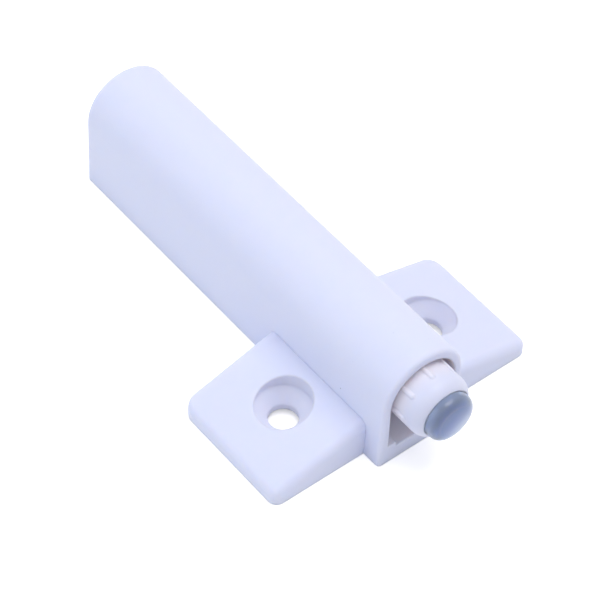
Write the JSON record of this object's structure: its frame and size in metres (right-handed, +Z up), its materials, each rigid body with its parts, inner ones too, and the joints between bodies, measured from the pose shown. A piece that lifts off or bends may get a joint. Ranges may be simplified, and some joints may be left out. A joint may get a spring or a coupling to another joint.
{
  "type": "push to open catch",
  "caption": "Push-latch spring cartridge with a soft rubber tip in an arch-shaped plastic holder with two screw wings, for doors without handles.",
  "frame": {"origin": "midway between the two screw holes, on the plane of the underside", "axes": "+X along the cartridge towards the rubber tip, +Y across the wings, +Z up from the mounting surface"},
  "size_m": [0.077, 0.0464, 0.0187],
  "materials": {
    "holder_plastic": "fine matte moulding grain",
    "barrel_plastic": "smooth satin",
    "inner_plastic": "smooth satin",
    "tip_rubber": "translucent soft grey-blue",
    "spring_steel": "drawn wire"
  },
  "bodies": {
    "housing": {"holder": "holder_plastic", "barrel": "barrel_plastic", "end_cap": "inner_plastic", "spring": "spring_steel", "latch_wire": "spring_steel"},
    "pusher": {"plunger": "inner_plastic", "bumper": "tip_rubber"}
  },
  "joints": [
    {"name": "plunger_slide", "type": "slide", "parent": "housing", "child": "pusher", "axis": [1, 0, 0], "range_m": [-0.0016, 0.038], "deforming": ["spring", "latch_wire"]}
  ]
}
